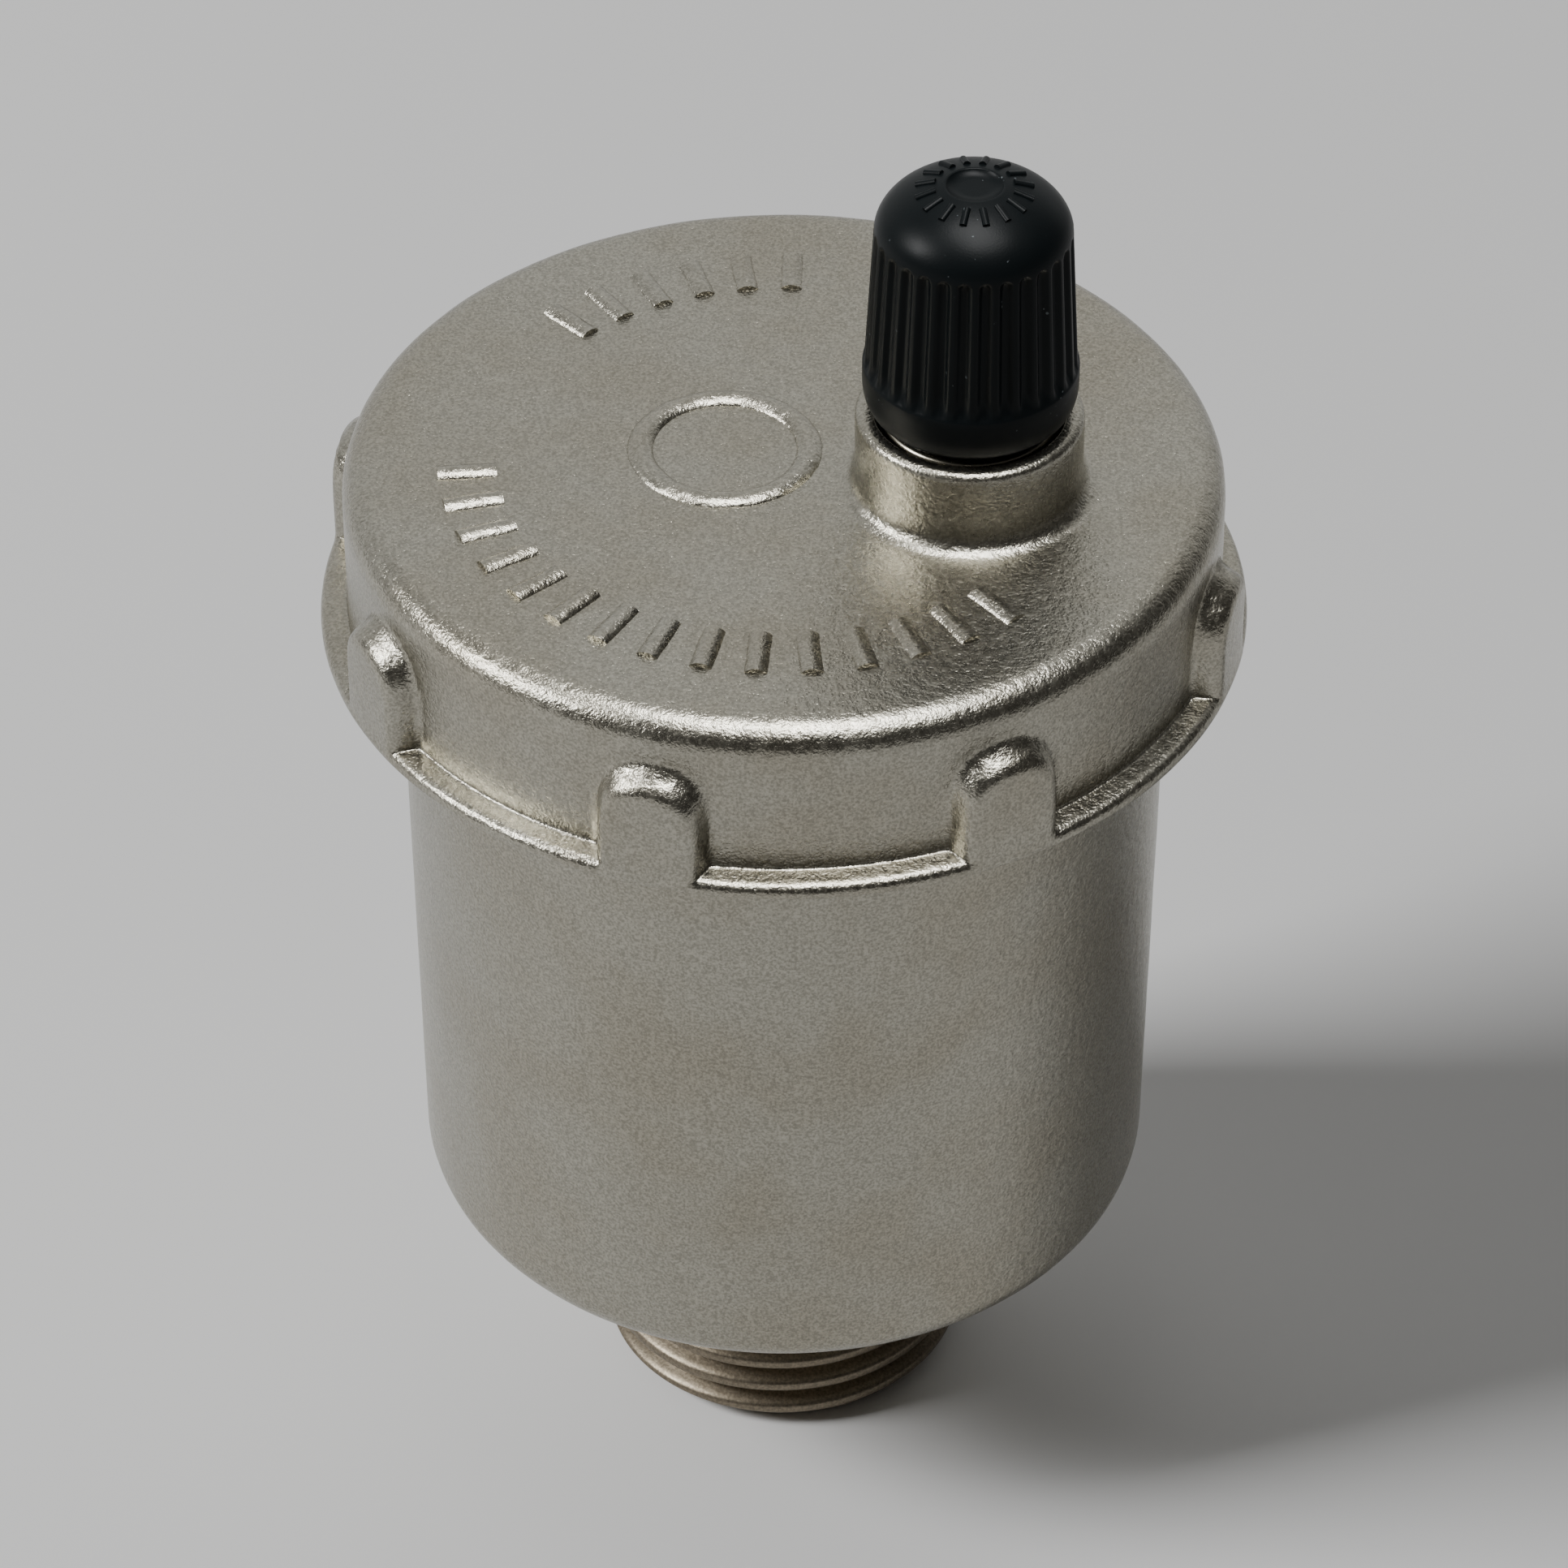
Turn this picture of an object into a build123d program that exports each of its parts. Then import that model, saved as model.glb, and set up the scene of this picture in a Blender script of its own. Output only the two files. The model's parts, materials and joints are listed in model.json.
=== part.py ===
from build123d import *
import os
from math import asin, atan, cos, degrees, radians, sin, sqrt, tan

# Automatic air vent with a G 1/2 male connection, in millimetres.
# +Z is up, the origin is the centre of the spigot's lower end face,
# and +X points at the offset boss that carries the vent nozzle and its cap.
# Screw threads are plain cylinders at their outside diameter.

# Spigot with the G 1/2 male thread
thread_r = 20.955 / 2
spigot_length = 11.6
spigot_chamfer = 1.2
waterway_r = 7.5

# Body, a forged cup with a conical underside and a screwed neck
joint_z = 54.0
body_top_r = 21.28
body_draft = 0.65
underside_slope = 22.0
underside_blend = 1.0
body_edge_fillet = 2.0
body_wall = 3.28
chamber_corner = 1.5
floor_wall = 2.6
neck_step = 0.78
neck_height = 7.2

# Seal between neck and cover
groove_height = 1.0
groove_width = 2.3
groove_depth = 1.3
seal_fit = 0.02
thread_clearance = 0.05

# Cover
cover_wall = 3.45
cover_height = 9.8
cover_ceiling = 2.0
rim_fillet = 1.7
lip_width = 1.5
lip_height = 0.9
lip_blend = 0.4

# Gripping lugs round the cover
lug_count = 8
lug_width = 5.2
lug_shoulder_height = 5.7
lug_face_height = 7.0
lug_draft_width = 0.25
lug_phase = -4.1

# Boss and its recess
boss_r = 6.17
boss_height = 4.9
boss_edge_fillet = 0.5
boss_base_fillet = 1.0
recess_r = 5.2
recess_depth = 3.5
inner_boss_r = 5.6
inner_boss_height = 2.3

# Vent nozzle
gasket_height = 0.8
gasket_wall_gap = 0.2
collar_r = 4.8
collar_height = 2.5
collar_chamfer = 0.25
stem_r = 3.85
stem_height = 11.0
stem_chamfer = 0.5
shank_r = 3.5
vent_bore_r = 0.75
seat_r = 1.2
seat_lip_height = 1.2
guide_bore_r = 2.3
guide_bore_depth = 7.0
nozzle_end_height = 0.5

# Nozzle nut and lever bracket
nut_flats = 10.0
nut_height = 2.0
sheet = 0.8
bracket_back = 5.4
ear_r = 1.9

# Lever, its pin and the valve that it lifts
pivot_inset = 4.11
valve_arm = 3.7
pivot_drop = 3.2
float_stroke = 3.0
lever_sheet = 1.2
lever_half_width = 5.7
lever_side_gap = 0.3
barrel_r = 1.8
nub_r = 1.2
nub_rise = 0.9
nub_half_width = 1.5
knuckle_r = 1.2
fork_half_gap = 3.9
fork_root = 1.6
pin_r = 0.75
pin_clearance = 0.06
pin_head_r = 1.3
pin_head_height = 0.6
pin_tail = 1.4
clip_r = 1.7
clip_sheet = 0.4
clip_inset = 0.2
clip_seat_r = 0.5

# Valve stem, seal and spring
contact_gap = 0.08
closed_gap = 0.02
seal_r = 1.3
seal_height = 1.0
stem_head_height = 0.8
stem_flange_clearance = 0.1
stem_flange_height = 1.5
stem_flat = 1.75
stem_rod_r = 1.1
spring_r = 1.75
spring_wire = 0.4
spring_turns = 3.5
spring_seat_gap = 0.02

# Float and the pin that guides it
guide_pin_r = 1.75
guide_pin_end = 26.0
guide_boss_r = 3.6
guide_hole_top = 0.6
guide_clearance = 0.25
float_gap = 1.6
float_bottom = 21.0
float_edge_fillet = 2.0
float_wall = 1.2
lid_height = 1.5
register_height = 1.2
register_wall = 1.0
register_fit = 0.05
neck_tube_r = 3.4
groove_play = 0.15
upper_flange_r = 4.8
lower_flange_r = 5.5
flange_height = 1.2
neck_rise = 2.2

# Dust cap
cap_gap = 0.5
cap_height = 14.1
cap_mouth_r = 5.1
cap_band_r = 5.8
cap_mouth_curve = 1.6
band_height = 2.8
barrel_low_r = 5.7
barrel_top_r = 5.27
dome_height = 3.13
disc_r = 1.5
disc_depth = 0.2
cap_thread_clearance = 0.1
cap_lead_in = 0.5
washer_height = 1.0
groove_count = 30
cap_groove_width = 0.42
cap_groove_depth = 0.27
cap_groove_foot = 2.9
cap_groove_head = 11.15

# Radii and places that follow
chamber_r = body_top_r - body_wall
neck_r = body_top_r - neck_step
groove_r = neck_r - groove_depth
cover_bore_r = neck_r + thread_clearance
cover_r = cover_bore_r + cover_wall
lip_r = cover_r + lip_width
float_r = chamber_r - float_gap
float_bore_r = guide_pin_r + guide_clearance
cap_bore_r = stem_r + cap_thread_clearance
pivot_x = chamber_r - pivot_inset
boss_offset = pivot_x - valve_arm
ear_y = lever_half_width + lever_side_gap

# Levels that follow
slope = tan(radians(underside_slope))
lean = tan(radians(body_draft))
corner_r = (
    body_top_r - (joint_z - spigot_length) * lean - thread_r * slope * lean
) / (1 - slope * lean)
corner_z = spigot_length + (corner_r - thread_r) * slope
floor_lift = floor_wall / cos(radians(underside_slope))
floor_z = corner_z - (corner_r - chamber_r) * slope + floor_lift
mouth_z = floor_z - (chamber_r - waterway_r) * slope

cover_top = joint_z + cover_height
ceiling_z = cover_top - cover_ceiling
boss_top = cover_top + boss_height
recess_floor = boss_top - recess_depth
inner_boss_z = ceiling_z - inner_boss_height

collar_z = recess_floor + gasket_height
collar_top = collar_z + collar_height
stem_top = collar_top + stem_height
bracket_z = inner_boss_z - sheet
nut_z = bracket_z - nut_height
nozzle_z = nut_z - nozzle_end_height
guide_bore_top = nozzle_z + guide_bore_depth
seat_z = guide_bore_top - seat_lip_height

pivot_z = nozzle_z - pivot_drop
lever_angle = degrees(asin(float_stroke / pivot_x))
valve_stroke = float_stroke * valve_arm / pivot_x
droop = radians(lever_angle)
nub_top = pivot_z - valve_arm * sin(droop) + nub_rise * cos(droop) + nub_r
valve_foot = nub_top + contact_gap
seal_top = seat_z - valve_stroke - closed_gap
seal_z = seal_top - seal_height
flange_top = seal_z - stem_head_height
flange_z = flange_top - stem_flange_height
knuckle_z = pivot_z - float_stroke

groove_half = knuckle_r + groove_play
float_top = knuckle_z - groove_half - neck_rise
shell_top = float_top - lid_height

cap_z = boss_top + cap_gap
cap_top = cap_z + cap_height

centre = Axis.Z
nozzle_axis = Axis((boss_offset, 0, 0), (0, 0, 1))
centre_section = Plane.XZ
nozzle_section = Plane(origin=(boss_offset, 0, 0), x_dir=(1, 0, 0), z_dir=(0, -1, 0))


def outline(plane, corners):
    """Closed face in a plane, from corners that are (across, up) or (across, up, fillet radius)."""
    with BuildSketch(plane) as face:
        with BuildLine():
            FilletPolyline(
                *[corner[:2] for corner in corners],
                radius=[corner[2] if len(corner) > 2 else 0 for corner in corners],
                close=True,
            )
        make_face()
    return face.sketch


def circle_edge(part, radius, height):
    """The part's edge that is a level circle of this radius at this height."""
    circles = part.edges().filter_by(GeomType.CIRCLE)
    return circles.filter_by(
        lambda edge: abs(edge.radius - radius) < 0.01 and abs(edge.center().Z - height) < 0.01
    )[0]


# Body: spigot, conical underside, drafted wall, neck with the seal's groove
with BuildPart() as body:
    revolve(
        outline(
            centre_section,
            [
                (waterway_r, 0),
                (thread_r - spigot_chamfer, 0),
                (thread_r, spigot_chamfer),
                (thread_r, spigot_length, underside_blend),
                (corner_r, corner_z, body_edge_fillet),
                (body_top_r, joint_z),
                (neck_r, joint_z),
                (neck_r, joint_z + groove_height),
                (groove_r, joint_z + groove_height),
                (groove_r, joint_z + groove_height + groove_width),
                (neck_r, joint_z + groove_height + groove_width),
                (neck_r, joint_z + neck_height),
                (chamber_r, joint_z + neck_height),
                (chamber_r, floor_z, chamber_corner),
                (waterway_r, mouth_z),
            ],
        ),
        axis=centre,
    )
body.part.label = "body"

# O-ring, squeezed between the groove and the cover's bore
with BuildPart() as cover_o_ring:
    squeezed = cover_bore_r - groove_r - 2 * seal_fit
    with BuildSketch(centre_section):
        with Locations(((groove_r + cover_bore_r) / 2, joint_z + groove_height + groove_width / 2)):
            SlotOverall(groove_width - 2 * seal_fit, squeezed, rotation=90)
    revolve(axis=centre)
cover_o_ring.part.label = "cover_o_ring"

# Cover: a forged cap with a lip, gripping lugs, the nozzle's boss and two bosses inside
with BuildPart() as cover:
    revolve(
        outline(
            centre_section,
            [
                (0, joint_z),
                (lip_r, joint_z),
                (lip_r, joint_z + lip_height),
                (cover_r, joint_z + lip_height, lip_blend),
                (cover_r, cover_top, rim_fillet),
                (0, cover_top),
            ],
        ),
        axis=centre,
    )
    lug_depth = lip_r - cover_r
    for turn in range(lug_count):
        outward = Vector(1, 0, 0).rotate(Axis.Z, lug_phase + turn * 360 / lug_count)
        sideways = outward.rotate(Axis.Z, 90)
        for inset, spread in ((0, 0), (2 * lug_depth, 2 * lug_draft_width)):
            face_plane = Plane(
                origin=outward * (lip_r - inset) + Vector(0, 0, joint_z),
                x_dir=sideways,
                z_dir=outward,
            )
            half = lug_width / 2 + spread
            shoulder = lug_shoulder_height + spread
            with BuildSketch(face_plane):
                with BuildLine():
                    Polyline((-half, shoulder), (-half, 0), (half, 0), (half, shoulder))
                    ThreePointArc((half, shoulder), (0, lug_face_height + spread), (-half, shoulder))
                make_face()
        loft()
    with BuildSketch(Plane.XY.offset(joint_z)):
        Circle(lip_r)
    extrude(amount=cover_height, mode=Mode.INTERSECT)
    with BuildSketch(Plane.XY.offset(ceiling_z)):
        with Locations((boss_offset, 0)):
            Circle(boss_r)
    extrude(amount=boss_top - ceiling_z)
    fillet(circle_edge(cover, boss_r, boss_top), boss_edge_fillet)
    fillet(circle_edge(cover, boss_r, cover_top), boss_base_fillet)
    with BuildSketch(Plane.XY.offset(joint_z)):
        Circle(cover_bore_r)
    extrude(amount=ceiling_z - joint_z, mode=Mode.SUBTRACT)
    with BuildSketch(Plane.XY.offset(inner_boss_z)):
        with Locations((boss_offset, 0)):
            Circle(inner_boss_r)
    extrude(amount=inner_boss_height)
    with BuildSketch(Plane.XY.offset(inner_boss_z)):
        Circle(guide_boss_r)
    extrude(amount=inner_boss_height)
    with BuildSketch(Plane.XY.offset(inner_boss_z)):
        Circle(guide_pin_r)
    extrude(amount=inner_boss_height + guide_hole_top, mode=Mode.SUBTRACT)
    with BuildSketch(Plane.XY.offset(inner_boss_z)):
        with Locations((boss_offset, 0)):
            Circle(shank_r + thread_clearance)
    extrude(amount=boss_top - inner_boss_z, mode=Mode.SUBTRACT)
    with BuildSketch(Plane.XY.offset(recess_floor)):
        with Locations((boss_offset, 0)):
            Circle(recess_r)
    extrude(amount=recess_depth, mode=Mode.SUBTRACT)
cover.part.label = "cover"

# Flat seal under the nozzle's collar
with BuildPart() as nozzle_gasket:
    with BuildSketch(Plane.XY.offset(recess_floor)):
        with Locations((boss_offset, 0)):
            Circle(recess_r - gasket_wall_gap)
            Circle(shank_r + thread_clearance, mode=Mode.SUBTRACT)
    extrude(amount=gasket_height)
nozzle_gasket.part.label = "nozzle_gasket"

# Vent nozzle: cap stem, collar and shank, with the valve's seat above its guide bore
with BuildPart() as vent_nozzle:
    revolve(
        outline(
            nozzle_section,
            [
                (vent_bore_r, stem_top),
                (vent_bore_r, seat_z),
                (seat_r, seat_z),
                (seat_r, guide_bore_top),
                (guide_bore_r, guide_bore_top),
                (guide_bore_r, nozzle_z),
                (shank_r, nozzle_z),
                (shank_r, collar_z),
                (collar_r, collar_z),
                (collar_r, collar_top - collar_chamfer),
                (collar_r - collar_chamfer, collar_top),
                (stem_r, collar_top),
                (stem_r, stem_top - stem_chamfer),
                (stem_r - stem_chamfer, stem_top),
            ],
        ),
        axis=nozzle_axis,
    )
vent_nozzle.part.label = "vent_nozzle"

# Thin hexagon nut that draws the nozzle down and clamps the bracket
with BuildPart() as nozzle_nut:
    with BuildSketch(Plane.XY.offset(nut_z)):
        with Locations((boss_offset, 0)):
            RegularPolygon(nut_flats / 2, 6, major_radius=False)
            Circle(shank_r + thread_clearance, mode=Mode.SUBTRACT)
    extrude(amount=nut_height)
nozzle_nut.part.label = "nozzle_nut"

# Lever bracket: a plate round the nozzle's shank with two ears bent down
with BuildPart() as lever_bracket:
    bracket_front = pivot_x - boss_offset + ear_r
    with BuildSketch(Plane.XY.offset(bracket_z)):
        with Locations((boss_offset + (bracket_front - bracket_back) / 2, 0)):
            RectangleRounded(bracket_back + bracket_front, 2 * (ear_y + sheet), sheet)
        with Locations((boss_offset, 0)):
            Circle(shank_r + thread_clearance, mode=Mode.SUBTRACT)
    extrude(amount=sheet)
    for side in (1, -1):
        with BuildSketch(Plane.XZ.offset(-side * (ear_y + sheet))):
            with Locations((pivot_x, pivot_z)):
                Circle(ear_r)
            with Locations((pivot_x, (pivot_z + bracket_z + sheet) / 2)):
                Rectangle(2 * ear_r, bracket_z + sheet - pivot_z)
            with Locations((pivot_x, pivot_z)):
                Circle(pin_r + pin_clearance, mode=Mode.SUBTRACT)
        extrude(amount=side * sheet)
lever_bracket.part.label = "lever_bracket"

# Hinge pin with a head and a groove for its clip
pin_head_y = -(ear_y + sheet)
pin_end_y = ear_y + sheet + pin_tail
clip_y = ear_y + sheet + clip_inset
with BuildPart() as lever_pin:
    with BuildSketch(Plane.XZ.offset(-pin_head_y)):
        with Locations((pivot_x, pivot_z)):
            Circle(pin_head_r)
    extrude(amount=pin_head_height)
    with BuildSketch(Plane.XZ.offset(-pin_head_y)):
        with Locations((pivot_x, pivot_z)):
            Circle(pin_r)
    extrude(amount=-(pin_end_y - pin_head_y))
    with BuildSketch(Plane.XZ.offset(-clip_y)):
        with Locations((pivot_x, pivot_z)):
            Circle(pin_r)
            Circle(clip_seat_r, mode=Mode.SUBTRACT)
    extrude(amount=-clip_sheet, mode=Mode.SUBTRACT)
lever_pin.part.label = "lever_pin"

# Retaining clip, open at the side where it is pushed on
with BuildPart() as pin_clip:
    with BuildSketch(Plane.XZ.offset(-clip_y)):
        with Locations((pivot_x, pivot_z)):
            Circle(clip_r)
            Circle(clip_seat_r, mode=Mode.SUBTRACT)
        with Locations((pivot_x, pivot_z - clip_r / 2)):
            Rectangle(2 * clip_seat_r, clip_r, mode=Mode.SUBTRACT)
    extrude(amount=-clip_sheet)
pin_clip.part.label = "pin_clip"

# Forked lever, lying down with the float and level when the float is up
lever_plane = Plane(
    origin=(pivot_x, 0, pivot_z),
    x_dir=(-cos(droop), 0, -sin(droop)),
    z_dir=(0, 1, 0),
)
with BuildPart() as lever:
    with BuildSketch(lever_plane):
        Circle(barrel_r)
        with Locations((pivot_x / 2, 0)):
            Rectangle(pivot_x, lever_sheet)
        with Locations((pivot_x, 0)):
            Circle(knuckle_r)
    extrude(amount=lever_half_width, both=True)
    with BuildSketch(lever_plane):
        with Locations((valve_arm, nub_rise)):
            Circle(nub_r)
    extrude(amount=nub_half_width, both=True)
    with BuildSketch(lever_plane):
        Circle(pin_r + pin_clearance)
    extrude(amount=lever_half_width, both=True, mode=Mode.SUBTRACT)
    fork_plane = Plane(origin=lever_plane.origin, x_dir=lever_plane.x_dir, z_dir=lever_plane.y_dir)
    with BuildSketch(fork_plane):
        with Locations((pivot_x - fork_root, 0)):
            Circle(fork_half_gap)
        with Locations((pivot_x - fork_root + fork_half_gap, 0)):
            Rectangle(2 * fork_half_gap, 2 * fork_half_gap)
    extrude(amount=2 * knuckle_r, both=True, mode=Mode.SUBTRACT)
lever.part.label = "lever"

# Valve stem: a rod with a flatted guide flange and a head that carries the seal
with BuildPart() as valve_stem:
    stem_flange_r = guide_bore_r - stem_flange_clearance
    revolve(
        outline(
            nozzle_section,
            [
                (0, valve_foot),
                (stem_rod_r, valve_foot),
                (stem_rod_r, flange_z),
                (stem_flange_r, flange_z),
                (stem_flange_r, flange_top),
                (seal_r, flange_top),
                (seal_r, seal_z),
                (0, seal_z),
            ],
        ),
        axis=nozzle_axis,
    )
    for turn in range(3):
        outward = Vector(1, 0, 0).rotate(Axis.Z, turn * 120)
        flat_plane = Plane(
            origin=Vector(boss_offset, 0, (flange_z + flange_top) / 2) + outward * stem_flat,
            x_dir=outward.rotate(Axis.Z, 90),
            z_dir=outward,
        )
        with BuildSketch(flat_plane):
            Rectangle(2 * stem_flange_r, stem_flange_height)
        extrude(amount=stem_flange_r, mode=Mode.SUBTRACT)
valve_stem.part.label = "valve_stem"

# Rubber seal on the stem's head
with BuildPart() as valve_seal:
    with BuildSketch(Plane.XY.offset(seal_z)):
        with Locations((boss_offset, 0)):
            Circle(seal_r)
    extrude(amount=seal_height)
valve_seal.part.label = "valve_seal"

# Compression spring between the stem's flange and the top of the guide bore
with BuildPart() as valve_spring:
    spring_foot = flange_top + spring_wire / 2 + spring_seat_gap
    spring_head = guide_bore_top - spring_wire / 2 - spring_seat_gap
    with BuildLine() as coil:
        Helix(
            pitch=(spring_head - spring_foot) / spring_turns,
            height=spring_head - spring_foot,
            radius=spring_r,
            center=(boss_offset, 0, spring_foot),
        )
    with BuildSketch(Plane(origin=coil.line @ 0, z_dir=coil.line % 0)):
        Circle(spring_wire / 2)
    sweep(path=coil.line, is_frenet=True)
valve_spring.part.label = "valve_spring"

# Pin in the cover's middle boss, on which the float slides
with BuildPart() as float_guide_pin:
    with BuildSketch(Plane.XY.offset(guide_pin_end)):
        Circle(guide_pin_r)
    extrude(amount=ceiling_z + guide_hole_top - guide_pin_end)
    chamfer(circle_edge(float_guide_pin, guide_pin_r, guide_pin_end), guide_pin_r / 3)
float_guide_pin.part.label = "float_guide_pin"

# Hollow float shell with a tube through its middle
with BuildPart() as float_shell:
    inside_r = float_r - float_wall
    tube_r = float_bore_r + float_wall
    revolve(
        outline(
            centre_section,
            [
                (float_bore_r, float_bottom),
                (float_r, float_bottom, float_edge_fillet),
                (float_r, shell_top),
                (inside_r, shell_top),
                (inside_r, float_bottom + float_wall, float_edge_fillet - float_wall),
                (tube_r, float_bottom + float_wall),
                (tube_r, shell_top),
                (float_bore_r, shell_top),
            ],
        ),
        axis=centre,
    )
float_shell.part.label = "float_shell"

# Float lid with its register ring and the grooved neck that takes the lever's fork
with BuildPart() as float_lid:
    register_r = inside_r - register_fit
    revolve(
        outline(
            centre_section,
            [
                (float_bore_r, shell_top),
                (register_r - register_wall, shell_top),
                (register_r - register_wall, shell_top - register_height),
                (register_r, shell_top - register_height),
                (register_r, shell_top),
                (float_r, shell_top),
                (float_r, float_top, lid_height / 2),
                (neck_tube_r, float_top),
                (neck_tube_r, knuckle_z - groove_half - flange_height),
                (lower_flange_r, knuckle_z - groove_half - flange_height),
                (lower_flange_r, knuckle_z - groove_half),
                (neck_tube_r, knuckle_z - groove_half),
                (neck_tube_r, knuckle_z + groove_half),
                (upper_flange_r, knuckle_z + groove_half),
                (upper_flange_r, knuckle_z + groove_half + flange_height),
                (float_bore_r, knuckle_z + groove_half + flange_height),
            ],
        ),
        axis=centre,
    )
float_lid.part.label = "float_lid"

# Dust cap: incurved mouth, smooth band, grooved barrel and a dome with a sunk disc
with BuildPart() as cap:
    shoulder_z = cap_top - dome_height
    band_z = cap_z + band_height
    with BuildSketch(nozzle_section):
        with BuildLine():
            Polyline((0, cap_top), (0, cap_z), (cap_mouth_r, cap_z))
            EllipticalCenterArc(
                (cap_mouth_r, cap_z + cap_mouth_curve),
                cap_band_r - cap_mouth_r,
                cap_mouth_curve,
                start_angle=-90,
                arc_size=90,
            )
            Polyline(
                (cap_band_r, cap_z + cap_mouth_curve),
                (cap_band_r, band_z - (cap_band_r - barrel_low_r)),
                (barrel_low_r, band_z),
                (barrel_top_r, shoulder_z),
            )
            EllipticalCenterArc((0, shoulder_z), barrel_top_r, dome_height, arc_size=90)
        make_face()
    revolve(axis=nozzle_axis)
    barrel_lean = atan((barrel_low_r - barrel_top_r) / (shoulder_z - band_z))
    groove_length = (cap_groove_head - cap_groove_foot) / cos(barrel_lean)
    for turn in range(groove_count):
        outward = Vector(1, 0, 0).rotate(Axis.Z, turn * 360 / groove_count)
        groove_plane = Plane(
            origin=Vector(boss_offset, 0, cap_z + cap_groove_foot) + outward * barrel_low_r,
            x_dir=outward.rotate(Axis.Z, 90),
            z_dir=outward * cos(barrel_lean) + Vector(0, 0, sin(barrel_lean)),
        )
        half = cap_groove_width / 2
        with BuildSketch(groove_plane.offset(cap_groove_depth)):
            with BuildLine():
                Polyline((-half, groove_length - half), (-half, 0), (half, 0), (half, groove_length - half))
                RadiusArc((half, groove_length - half), (-half, groove_length - half), -half)
            make_face()
        extrude(amount=-2 * cap_groove_depth, mode=Mode.SUBTRACT)
    with BuildSketch(Plane.XY.offset(cap_z)):
        with Locations((boss_offset, 0)):
            Circle(cap_bore_r)
    extrude(amount=stem_top + washer_height - cap_z, mode=Mode.SUBTRACT)
    chamfer(circle_edge(cap, cap_bore_r, cap_z), cap_lead_in)
    with BuildSketch(Plane.XY.offset(cap_top)):
        with Locations((boss_offset, 0)):
            Circle(disc_r)
    disc_floor = shoulder_z + dome_height * sqrt(1 - (disc_r / barrel_top_r) ** 2) - disc_depth
    extrude(amount=disc_floor - cap_top, mode=Mode.SUBTRACT)
cap.part.label = "cap"

# Rubber disc inside the cap, which closes the end of the nozzle
with BuildPart() as cap_washer:
    with BuildSketch(Plane.XY.offset(stem_top)):
        with Locations((boss_offset, 0)):
            Circle(cap_bore_r - seal_fit)
    extrude(amount=washer_height)
cap_washer.part.label = "cap_washer"

pieces = [
    body,
    cover_o_ring,
    cover,
    nozzle_gasket,
    vent_nozzle,
    nozzle_nut,
    lever_bracket,
    lever_pin,
    pin_clip,
    lever,
    valve_stem,
    valve_seal,
    valve_spring,
    float_guide_pin,
    float_shell,
    float_lid,
    cap,
    cap_washer,
]
os.makedirs("parts", exist_ok=True)
for piece in pieces:
    export_step(piece.part, f"parts/{piece.part.label}.step")
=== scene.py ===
import json
from math import atan2, cos, pi, radians, sin, sqrt, tau

import bpy
import numpy as np
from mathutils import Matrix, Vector

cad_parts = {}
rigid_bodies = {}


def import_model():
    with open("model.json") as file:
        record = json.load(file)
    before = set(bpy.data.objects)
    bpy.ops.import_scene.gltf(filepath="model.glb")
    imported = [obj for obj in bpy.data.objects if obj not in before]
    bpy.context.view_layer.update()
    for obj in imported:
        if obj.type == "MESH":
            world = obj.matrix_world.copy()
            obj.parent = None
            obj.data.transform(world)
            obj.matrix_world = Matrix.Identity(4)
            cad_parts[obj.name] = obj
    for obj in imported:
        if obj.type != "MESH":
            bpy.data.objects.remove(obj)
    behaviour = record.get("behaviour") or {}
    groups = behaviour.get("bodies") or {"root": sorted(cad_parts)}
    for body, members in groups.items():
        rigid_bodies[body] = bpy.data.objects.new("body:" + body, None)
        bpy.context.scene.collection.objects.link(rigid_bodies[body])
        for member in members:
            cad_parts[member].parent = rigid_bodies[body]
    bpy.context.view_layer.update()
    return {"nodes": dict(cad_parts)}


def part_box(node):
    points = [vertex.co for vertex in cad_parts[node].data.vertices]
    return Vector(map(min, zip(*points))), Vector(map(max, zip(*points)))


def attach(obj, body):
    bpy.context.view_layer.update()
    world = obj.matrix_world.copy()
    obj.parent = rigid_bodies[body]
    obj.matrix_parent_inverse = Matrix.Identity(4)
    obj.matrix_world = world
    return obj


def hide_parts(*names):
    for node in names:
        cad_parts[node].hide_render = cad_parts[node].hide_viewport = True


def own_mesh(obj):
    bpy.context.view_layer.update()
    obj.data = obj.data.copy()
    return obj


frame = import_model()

# Looks of an automatic air vent: nickel-plated forged body and cover, turned nozzle, moulded cap.
# Everything is in metres in the frame of the solids; sizes below are given in millimetres times MM.
MM = 0.001

# Levels and radii read from the solids
body_low, body_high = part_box("body")
cover_low, cover_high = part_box("cover")
nozzle_low, nozzle_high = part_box("vent_nozzle")
cap_low, cap_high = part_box("cap")
nozzle_x = (nozzle_low.x + nozzle_high.x) / 2
joint_z = cover_low.z
boss_top = cover_high.z
lip_r = cover_high.y
body_r = body_high.y
collar_r = nozzle_high.y
stem_top = nozzle_high.z
cap_z = cap_low.z
cap_r = cap_high.y

# Sizes that the solids share
thread_r = 10.4775 * MM
thread_pitch = 1.814 * MM
spigot_length = 11.6 * MM
cover_top = joint_z + 9.8 * MM
cover_r = lip_r - 1.5 * MM
boss_r = 6.17 * MM
stem_r = 3.85 * MM
collar_top = stem_top - 11.0 * MM
lug_count, lug_phase = 8, radians(-4.1)


# Wiring of shader and geometry trees

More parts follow.
